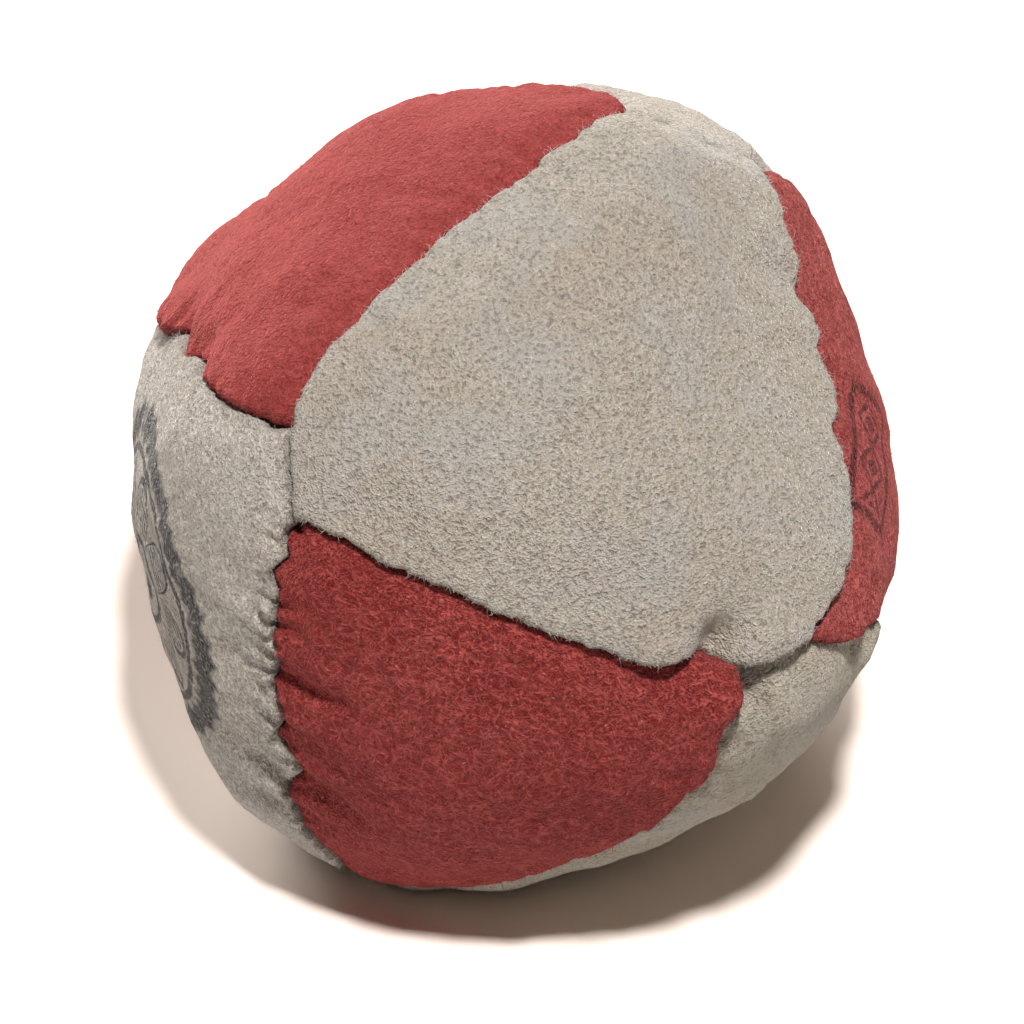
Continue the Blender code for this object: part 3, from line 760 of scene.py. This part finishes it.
class Field:
    """A number or colour worked out by shader nodes, with the usual signs for its sums."""

    def __init__(self, tree, socket):
        self.tree = tree
        self.socket = socket

    def math(self, operation, *others):
        inputs = dict(enumerate((self, *others)))
        return made(self.tree, "ShaderNodeMath", {"operation": operation}, inputs)

    def __add__(self, other):
        return self.math("ADD", other)

    def __sub__(self, other):
        return self.math("SUBTRACT", other)

    def __mul__(self, other):
        return self.math("MULTIPLY", other)

    def __abs__(self):
        return self.math("ABSOLUTE")

    def scaled(self, factor, start):
        return self.math("MULTIPLY_ADD", factor, start)

    def most(self, *others):
        total = self
        for other in others:
            total = total.math("MAXIMUM", other)
        return total

    def ramp(self, low, high):
        """Stretched from low..high to 0..1 and held there."""
        inputs = {"Value": self, "From Min": low, "From Max": high}
        return made(self.tree, "ShaderNodeMapRange", {"clamp": True}, inputs)

    def line(self, place, half_width):
        """1 where this is within half a width of a place."""
        return abs(self - place).ramp(half_width * 1.25, half_width * 0.75)

    def noise(self, scale, detail=2.0, roughness=0.5, distortion=0.0):
        return made(self.tree, "ShaderNodeTexNoise", {"noise_dimensions": "3D"}, {
            "Vector": self, "Scale": scale, "Detail": detail, "Roughness": roughness,
            "Distortion": distortion})

    def mix(self, first, second):
        """One colour turned into another by this share."""
        return mixed(self.tree, self, first, second)

    def feed(self, socket):
        self.tree.links.new(self.socket, socket)


def node(tree, kind, settings=None, inputs=None):
    """A shader node. Inputs are values, or fields to link from."""
    item = tree.nodes.new(kind)
    for key, value in (settings or {}).items():
        setattr(item, key, value)
    for key, value in (inputs or {}).items():
        if isinstance(value, Field):
            value.feed(item.inputs[key])
        else:
            item.inputs[key].default_value = value
    return item


def made(tree, kind, settings=None, inputs=None, output=0):
    """The field that a new node gives."""
    return Field(tree, node(tree, kind, settings, inputs).outputs[output])


def mixed(tree, share, first, second, blend="MIX"):
    settings = {"data_type": "RGBA", "blend_type": blend}
    return made(tree, "ShaderNodeMix", settings, {0: share, 6: first, 7: second}, 2)


def attribute(tree, name, output):
    return made(tree, "ShaderNodeAttribute", {"attribute_name": name}, None, output)


def new_material(name, plain=None):
    """A material, its node tree and its shader, with the shader's even values set."""
    material = bpy.data.materials.new(name)
    material.use_nodes = True
    shader = material.node_tree.nodes["Principled BSDF"]
    for key, value in (plain or {}).items():
        shader.inputs[key].default_value = value
    return material, material.node_tree, shader


def object_place(tree):
    return made(tree, "ShaderNodeTexCoord", output="Object")


def rosette(across, up):
    """A round ornament: toothed rim, thin rings, eight petals and fine hatching."""
    radius = (across * across + up * up).math("SQRT")
    angle = up.math("ARCTAN2", across)
    teeth = (angle * (36 / (2 * math.pi))).math("PINGPONG", 0.5)
    rim = radius - teeth * 1.1
    petal = abs((angle * 4.0).math("COSINE")).math("POWER", 0.7).scaled(4.6, 3.4)
    hatch = ((across + up) * 1.3).math("FRACT").line(0.5, 0.2)
    inside = (petal - radius).ramp(0.5, 0.6) * radius.ramp(4.4, 4.6)
    rings = ((8.6, 0.3), (3.2, 0.3), (1.2, 0.6), (petal, 0.3))
    rings = [radius.line(place, width) for place, width in rings]
    return rim.line(10.0, 0.9).most(*rings, hatch * inside)


def border_band(across, up):
    """A short band of nested diamonds in a plain frame."""
    height = abs(up)
    length = abs(across)
    diamond = (across + 100.0).math("PINGPONG", 1.6) + height
    figure = diamond.line(1.6, 0.28).most(diamond.line(0.45, 0.34))
    figure = figure * height.ramp(1.75, 1.65) * length.ramp(3.75, 3.65)
    return figure.most((height - 2.5).most(length - 4.4).line(0.0, 0.32))


# Design and ink colour of each print
MOTIFS = {"grey_left": (rosette, (0.03, 0.03, 0.033, 1)),
          "red_right": (border_band, (0.05, 0.016, 0.018, 1))}


def printed(panel, tone, spot):
    """A worn ink print over the suede's colour."""
    motif, ink = MOTIFS[panel]
    tree = spot.tree
    place = node(tree, "ShaderNodeSeparateXYZ", None, {0: attribute(tree, "print_place", "Vector")})
    across, up, out = (Field(tree, socket) for socket in place.outputs)
    jitter = spot.noise(2600.0, 2.0, 0.6).scaled(0.5, -0.25)
    mask = motif(across + jitter, up + jitter) * out.ramp(0.0, 1.0)
    wear = spot.noise(4200.0, 2.0, 0.6).ramp(0.32, 0.46) * spot.noise(520.0, 3.0, 0.6).ramp(0.28, 0.42)
    return (mask * wear.scaled(0.68, 0.32)).mix(tone, ink)


def fibre_turns(panel, count, rng):
    """Turns that lay a nap's fibres flat on a panel, spread evenly over all ways."""
    middle = Vector(aim(PANELS[panel][1]))
    first = middle.orthogonal().normalized()
    second = middle.cross(first)
    turns = []
    for index in range(count):
        angle = math.pi * (index + rng.uniform(-0.3, 0.3)) / count
        way = math.cos(angle) * first + math.sin(angle) * second
        turns.append(tuple(Matrix((way, middle.cross(way), middle)).transposed().to_euler()))
    return turns


def strands(spot, turns, nap):
    """Mask of long bent fibres, or of short flecks where the nap has them."""
    masks = []
    tree = spot.tree
    for turn in turns:
        lying = made(tree, "ShaderNodeMapping", {"vector_type": "TEXTURE"},
                     {"Vector": spot, "Rotation": turn, "Scale": (nap["length"], 1.0, 1.0)})
        if nap["flecks"]:
            inputs = {"Vector": lying, "Scale": nap["fineness"]}
            strand = made(tree, "ShaderNodeTexVoronoi", {"feature": "F1"}, inputs, "Distance")
        else:
            strand = lying.noise(nap["fineness"], 0.0, 0.5, nap["bend"])
        masks.append(strand.ramp(*nap["edges"]))
    return masks[0].most(*masks[1:])


def suede(panel, colours, seed, nap):
    """Suede nap: fibres lying all ways, partly painted shade between them and in the pits, lumps, warm and
    cool places, painted shade with some grime at the seams, and glints painted as highlights.
    """
    dark, plain, light, warm, cool, bloom, glint = colours
    material, tree, shader = new_material(panel.replace("_", "_suede_"), {
        "Specular IOR Level": 0.15, "Sheen Weight": 0.7, "Sheen Roughness": 0.35, "Sheen Tint": bloom})
    rng = np.random.default_rng(seed)
    shift = tuple(rng.uniform(-1, 1, 3))
    spot = made(tree, "ShaderNodeVectorMath", {"operation": "ADD"}, {0: object_place(tree), 1: shift})
    turns = fibre_turns(panel, 6, rng)
    fibres = strands(spot, turns, nap)
    grain = spot.noise(6400.0, 1.0, 0.7).ramp(0.28, 0.72)
    pits = spot.noise(3300.0, 1.0, 0.6, 0.1).ramp(0.34, 0.47)
    tufts = spot.noise(1500.0, 2.0, 0.6, 0.5)
    patches = spot.noise(95.0, 2.0, 0.5, 0.4)
    cool_patches = spot.noise(160.0, 1.0, 0.5, 0.3)
    specks = spot.noise(3100.0, 1.0, 0.5, 0.5)
    tints = spot.noise(1900.0, 1.0, 0.5, 0.5)
    # Darker between the fibres and lighter on them: partly the fibres' own colour, partly painted shade
    # between them and painted light on them
    tone = fibres.scaled(nap["share"], grain * (1 - nap["share"])).mix(dark, light)
    tone = mixed(tree, nap["plain"], tone, plain)
    stains = ((specks, 0.52, 0.66, 0.32, warm), (tints, 0.54, 0.68, 0.3, cool),
              (patches, 0.45, 0.7, 0.26, warm), (cool_patches, 0.48, 0.66, nap["cool"], cool))
    for share, low, high, strength, colour in stains:
        tone = (share.ramp(low, high) * strength).mix(tone, colour)
    edge = attribute(tree, "seam_distance", "Fac")
    # Darkening multiplied into the colour: lumps of the nap, painted shade in the pits, and painted shade with
    # some grime within half a millimetre of a seam
    shade = tufts.ramp(0.3, 0.7).scaled(nap["lumps"], 1 - nap["lumps"] / 2)
    shade = shade * pits.scaled(nap["pits"], 1 - nap["pits"]) * edge.ramp(0.0, 0.5).scaled(0.45, 0.55)
    shade = made(tree, "ShaderNodeCombineColor", None, dict.fromkeys(("Red", "Green", "Blue"), shade))
    tone = mixed(tree, 1.0, tone, shade, "MULTIPLY")
    # Glints: sparse light flecks laid into the colour as painted highlights
    tone = (strands(spot, turns[::2], GLINTS) * nap["glints"]).mix(tone, glint)
    if panel in MOTIFS:
        tone = printed(panel, tone, spot)
    tone.feed(shader.inputs["Base Color"])
    grain.scaled(0.12, 0.84).feed(shader.inputs["Roughness"])
    relief = fibres * nap["bump"] + grain * 0.5 + tufts * nap["tufts"] + pits * 0.8
    bump = made(tree, "ShaderNodeBump", None, {"Strength": 0.8, "Distance": 0.00012, "Height": relief})
    bump.feed(shader.inputs["Normal"])
    return material


# Colours of the suede: between the fibres (partly painted shade), plain, on them (partly painted light), warm,
# cool, sheen, and glints (painted highlights)
GREY = ((0.33, 0.25, 0.18, 1), (0.51, 0.44, 0.36, 1), (0.81, 0.75, 0.66, 1), (0.46, 0.34, 0.23, 1),
        (0.54, 0.51, 0.48, 1), (0.79, 0.735, 0.66, 1), (0.95, 0.93, 0.88, 1))
# A lighter copy of the grey for the left panel: painted light, standing in for more light falling on that side
LIT_GREY = ((0.40, 0.305, 0.225, 1), (0.66, 0.57, 0.475, 1), (0.89, 0.82, 0.73, 1), (0.56, 0.42, 0.30, 1),
             (0.66, 0.61, 0.57, 1), (0.79, 0.725, 0.66, 1), (0.96, 0.93, 0.88, 1))
BASE_GREY = ((0.32, 0.235, 0.16, 1), (0.50, 0.425, 0.33, 1), (0.80, 0.73, 0.61, 1), (0.46, 0.33, 0.21, 1),
             (0.53, 0.49, 0.43, 1), (0.79, 0.72, 0.62, 1), (0.95, 0.92, 0.85, 1))
RED = ((0.19, 0.008, 0.007, 1), (0.29, 0.020, 0.018, 1), (0.60, 0.13, 0.115, 1), (0.24, 0.012, 0.010, 1),
       (0.44, 0.08, 0.07, 1), (0.80, 0.17, 0.15, 1), (0.82, 0.34, 0.30, 1))
# A lighter copy of the red for the top and right panels: painted light, standing in for more light falling on
# them
LIT_RED = ((0.23, 0.016, 0.014, 1), (0.335, 0.042, 0.039, 1), (0.64, 0.175, 0.16, 1), (0.28, 0.026, 0.022, 1),
            (0.48, 0.11, 0.10, 1), (0.80, 0.20, 0.18, 1), (0.84, 0.40, 0.36, 1))
# How a nap lies: whether its fibres are short flecks, their fineness, length and bend, the edges of
# their mask, their share against the grain, how much plain and cool colour there is, and how strong
# the lumps, the painted shade in the pits, the relief, tufts in the relief and the painted glints are
FLECKS = {"flecks": True, "fineness": 4600, "length": 2.4, "bend": 0, "edges": (0.46, 0.14), "share": 0.5,
          "plain": 0.25, "cool": 0.4, "lumps": 0.14, "pits": 0.3, "bump": 1, "tufts": 2.2, "glints": 0.55}
LONG = {"flecks": False, "fineness": 6600, "length": 5.5, "bend": 0.9, "edges": (0.55, 0.69),
        "share": 0.62, "plain": 0.3, "cool": 0.2, "lumps": 0.28, "pits": 0.32, "bump": 1.3, "tufts": 3.2,
        "glints": 0.35}
FUZZY = {"flecks": False, "fineness": 4400, "length": 6, "bend": 1.4, "edges": (0.58, 0.71), "share": 0.7,
         "plain": 0.26, "cool": 0, "lumps": 0.38, "pits": 0.28, "bump": 1.4, "tufts": 3.2, "glints": 0.4}
SMOOTH = {"flecks": True, "fineness": 4000, "length": 2, "bend": 0, "edges": (0.46, 0.12), "share": 0.5,
          "plain": 0.64, "cool": 0, "lumps": 0.2, "pits": 0.14, "bump": 0.5, "tufts": 2.2, "glints": 0.25}
NAPS = {"grey_left": LONG, "red_top": SMOOTH}
# The left, top and right panels take the lighter copies, which are painted light
TONES = {"grey_left": LIT_GREY, "grey_base": BASE_GREY, "red_top": LIT_RED, "red_right": LIT_RED}
# Painted highlights of the glints: short light flecks
GLINTS = {"flecks": True, "fineness": 1900, "length": 2.6, "edges": (0.11, 0.05)}

for number, (panel, piece) in enumerate(pieces.items()):
    grey = panel.startswith("grey")
    colours = TONES.get(panel, GREY if grey else RED)
    nap = NAPS.get(panel, FLECKS if grey else FUZZY)
    piece.data.materials.append(suede(panel, colours, 40 + number, nap))
    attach(piece, "root")
    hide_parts(node_name(panel))

# Loose fibres: how many for each millimetre of lip, and on the open skin of a panel. The lip
# lies between two distances from the seam. Radii are those at the root, the bend and the tip.
LIP_FIBRES = 8.0
OPEN_FIBRES = 420
LIP = (0.03, 0.5)
FIBRE_RADII = (0.018, 0.014, 0.005)
SHORTEST_FIBRE = 0.2
FIBRE_SPREAD = 0.4
# Least outward slope and least height above the floor of the skin where fibres stand
FIBRE_SLOPE = 0.15
FIBRE_CLEARANCE = 0.6


def fibre_roots(panel):
    """Loose fibres on a panel: their roots, the skin's normals there, their ways, lengths and bends."""
    rng = np.random.default_rng(300 + sorted(PANELS).index(panel))
    mesh = pieces[panel].data
    count = len(mesh.vertices)
    places, normals = np.empty(count * 3), np.empty(count * 3)
    mesh.vertices.foreach_get("co", places)
    mesh.vertex_normals.foreach_get("vector", normals)
    places = places.reshape(-1, 3) / MM - CENTRE_PLACE
    normals = normals.reshape(-1, 3)
    marks = np.empty(count, dtype=np.float32)
    mesh.attributes["seam_distance"].data.foreach_get("value", marks)
    outside = (normals * unit(places)).sum(axis=1) > FIBRE_SLOPE
    outside &= places[:, 2] > FIBRE_CLEARANCE - CENTRE_HEIGHT
    lips = np.nonzero(outside & (marks > LIP[0]) & (marks < LIP[1]))[0]
    open_skin = np.nonzero(outside & (marks >= LIP[1]))[0]
    border = sum(SEAMS[name]["arc"][-1] for name, forward in seams_of(PANELS[panel][0]))
    lips = rng.choice(lips, int(border * LIP_FIBRES), replace=False)
    open_skin = rng.choice(open_skin, OPEN_FIBRES, replace=False)
    chosen = np.concatenate([lips, open_skin])
    away = np.concatenate([np.full(len(lips), 0.15), np.full(len(open_skin), 0.1)])
    ways = normals[chosen] * away[:, None] + 0.5 * rng.normal(size=(len(chosen), 3))
    ways -= (0.8 * (ways * normals[chosen]).sum(axis=1) - 0.15)[:, None] * normals[chosen]
    lengths = SHORTEST_FIBRE + FIBRE_SPREAD * rng.uniform(0, 1, len(chosen)) ** 2
    bends = rng.normal(size=(len(chosen), 3))
    return places[chosen], normals[chosen], unit(ways), lengths[:, None], bends


def make_fibres(name, panels, colours):
    """Loose fibres: bent, tapered and closed, three sides each."""
    found = zip(*(fibre_roots(panel) for panel in panels))
    roots, normals, ways, lengths, bends = (np.concatenate(each) for each in found)
    bends = unit(bends + 0.2 * normals)
    across = unit(np.cross(ways, bends))
    other = np.cross(ways, across)
    centres = (roots - 0.1 * normals, roots + 0.5 * lengths * ways,
               roots + lengths * (ways + 0.45 * bends))
    corners = []
    for centre, thick in zip(centres, FIBRE_RADII):
        for turn in (0.0, 120.0, 240.0):
            angle = math.radians(turn)
            corners.append(centre + thick * (math.cos(angle) * across + math.sin(angle) * other))
    points = np.stack(corners, axis=1)
    points[..., 2] = np.maximum(points[..., 2], -CENTRE_HEIGHT)
    pattern = [(0, 2, 1), (6, 7, 8)]
    for ring in (0, 3):
        for side in range(3):
            after = (side + 1) % 3
            pattern.append((ring + side, ring + after, ring + 3 + after))
            pattern.append((ring + side, ring + 3 + after, ring + 3 + side))
    starts = np.arange(len(points)) * 9
    faces = (starts[:, None, None] + np.array(pattern)[None]).reshape(-1, 3)
    fibres = make_mesh(name, points.reshape(-1, 3), faces.tolist())
    material, tree, shader = new_material(name, {
        "Roughness": 0.75, "Specular IOR Level": 0.25, "Sheen Weight": 0.4, "Sheen Tint": colours[5]})
    share = object_place(tree).noise(1300.0, 1.0, 0.5).ramp(0.35, 0.62)
    share.mix(colours[1], colours[2]).feed(shader.inputs["Base Color"])
    fibres.data.materials.append(material)
    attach(fibres, "root")


for colour, colours in (("grey", GREY), ("red", RED)):
    panels = [panel for panel in PANELS if panel.startswith(colour)]
    make_fibres(colour + "_nap", panels, colours)

# The filling: how many pellets show under the skin, their radius, how unevenly they lie and sink,
# their depth under the skin and under the seams, and how near a seam they are pushed down
PELLETS = 1150
PELLET_RADIUS = 1.3
PELLET_STRAY = 0.016
PELLET_SINK = 0.35
PELLET_DEPTH = 3.1
SEAM_DEPTH = ALLOWANCE_DEPTH - 2.4
SEAM_PUSH = (1.9, 3.2)
FILL_FLOOR = 1.6


def make_pellets():
    """The filling: plastic pellets packed against the inside of the skin."""
    grid = bmesh.new()
    bmesh.ops.create_icosphere(grid, subdivisions=7, radius=1.0)
    grid.verts.ensure_lookup_table()
    aims = unit(np.array([vertex.co[:] for vertex in grid.verts]))
    faces = [[vertex.index for vertex in face.verts] for face in grid.faces]
    grid.free()
    rng = np.random.default_rng(5)
    steps = np.arange(PELLETS) + 0.5
    height = 1 - 2 * steps / PELLETS
    turn = steps * math.pi * (3 - math.sqrt(5))
    level = np.sqrt(1 - height ** 2)
    spots = np.stack([level * np.cos(turn), level * np.sin(turn), height], axis=1)
    spots = unit(spots + PELLET_STRAY * rng.normal(size=spots.shape))
    sinks = rng.uniform(0, PELLET_SINK, PELLETS)
    lines = np.concatenate([seam["border"][::2] for seam in SEAMS.values()])
    points = np.empty_like(aims)
    for start in range(0, len(aims), 4096):
        some = aims[start:start + 4096]
        nearness = some @ spots.T
        nearest = nearness.argmax(axis=1)
        gap = BAG_RADIUS * np.sqrt(np.maximum(0, 2 - 2 * nearness.max(axis=1)))
        dome = np.sqrt(np.maximum(0.0, 1 - (gap / PELLET_RADIUS) ** 2))
        seam_gap = BAG_RADIUS * np.sqrt(np.maximum(0, 2 - 2 * (some @ lines.T).max(axis=1)))
        depth = PELLET_DEPTH + SEAM_DEPTH * (1 - smooth(*SEAM_PUSH, seam_gap)) + sinks[nearest]
        radius = bag_radius(some) - depth - PELLET_RADIUS * (1 - dome)
        points[start:start + 4096] = some * radius[:, None]
    points[:, 2] = np.maximum(points[:, 2], FILL_FLOOR - CENTRE_HEIGHT)
    pellets = make_mesh("plastic_pellets", points, faces)
    material, tree, shader = new_material("plastic_pellets", {"Roughness": 0.42})
    share = object_place(tree).noise(330.0, 1.0, 0.5).ramp(0.35, 0.65)
    share.mix((0.62, 0.60, 0.54, 1), (0.76, 0.75, 0.70, 1)).feed(shader.inputs["Base Color"])
    pellets.data.materials.append(material)
    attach(pellets, "root")
    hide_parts("pellet_fill")


make_pellets()

# The sewing thread, two plies twisted together
material, tree, shader = new_material("sewing_thread", {"Roughness": 0.8})
spot = object_place(tree)
plies = made(tree, "ShaderNodeTexWave", {"bands_direction": "DIAGONAL"},
             {"Vector": spot, "Scale": 900.0, "Distortion": 2.0}, "Fac")
lint = spot.noise(5200.0, 1.0, 0.5)
tone = plies.mix((0.33, 0.29, 0.24, 1), (0.58, 0.53, 0.45, 1))
(lint * 0.3).mix(tone, (0.66, 0.62, 0.55, 1)).feed(shader.inputs["Base Color"])
twist = made(tree, "ShaderNodeBump", None, {"Strength": 0.6, "Distance": 0.00008, "Height": plies})
twist.feed(shader.inputs["Normal"])
for item in bpy.data.objects:
    if item.type == "MESH" and item.name.startswith("thread_"):
        item.data.materials.clear()
        item.data.materials.append(material)

# Floor, light and camera. The floor looks whiter than it lights, so that only the shadow shows on it.
FLOOR_REACH = 0.55
FLOOR_COLOUR = (0.86, 0.85, 0.84, 1)
FLOOR_SEEN_COLOUR = (1.42, 1.24, 1.12, 1)
SKY_LEVEL = 0.02
AIM = Vector((0.0, -0.00041, 0.0235))


def seen_directly(tree):
    """1 for what the camera sees, directly or in gloss or glass, and 0 for light."""
    rays = tree.nodes.new("ShaderNodeLightPath").outputs
    kinds = ("Camera", "Glossy", "Transmission")
    camera_ray, *others = (Field(tree, rays[f"Is {kind} Ray"]) for kind in kinds)
    return camera_ray.most(*others)


def lamp(name, place, size, power):
    data = bpy.data.lights.new(name, "AREA")
    data.shape = "ELLIPSE"
    data.size = data.size_y = size
    data.energy = power
    item = bpy.data.objects.new(name, data)
    bpy.context.scene.collection.objects.link(item)
    item.location = place
    item.rotation_euler = (AIM - Vector(place)).to_track_quat("-Z", "Y").to_euler()


floor_mesh = bpy.data.meshes.new("floor")
floor_corners = [(x * FLOOR_REACH, y * FLOOR_REACH, 0) for x, y in ((-1, -1), (1, -1), (1, 1), (-1, 1))]
floor_mesh.from_pydata(floor_corners, [], [(0, 1, 2, 3)])
floor = bpy.data.objects.new("floor", floor_mesh)
bpy.context.scene.collection.objects.link(floor)
material, tree, shader = new_material("floor")
floor_tone = seen_directly(tree).mix(FLOOR_COLOUR, FLOOR_SEEN_COLOUR)
paint = made(tree, "ShaderNodeBsdfDiffuse", None, {"Color": floor_tone})
paint.feed(tree.nodes["Material Output"].inputs["Surface"])
tree.nodes.remove(shader)
floor_mesh.materials.append(material)

world = bpy.data.worlds.new("studio")
bpy.context.scene.world = world
world.use_nodes = True
tree = world.node_tree
sky = tree.nodes["Background"]
inputs = {"To Min": SKY_LEVEL, "To Max": 1.0, "Value": seen_directly(tree)}
made(tree, "ShaderNodeMapRange", None, inputs).feed(sky.inputs["Strength"])
sky.inputs["Color"].default_value = (1, 1, 1, 1)

lamp("key", (0.08, -0.265, 0.925), 0.1, 8.9)
lamp("back", (-0.24, 0.92, 0.28), 0.6, 11.5)

ELEVATION = math.radians(42.0)
DISTANCE = 0.4
camera_data = bpy.data.cameras.new("camera")
camera = bpy.data.objects.new("camera", camera_data)
bpy.context.scene.collection.objects.link(camera)
camera.location = AIM + DISTANCE * Vector((0.0, -math.cos(ELEVATION), math.sin(ELEVATION)))
camera.rotation_euler = (math.pi / 2 - ELEVATION, 0.0, 0.0)
camera_data.sensor_width = 36.0
camera_data.lens = 208.1
camera_data.shift_y = -0.0264
camera_data.clip_start = 0.01
bpy.context.scene.camera = camera
bpy.context.scene.view_settings.view_transform = "Standard"
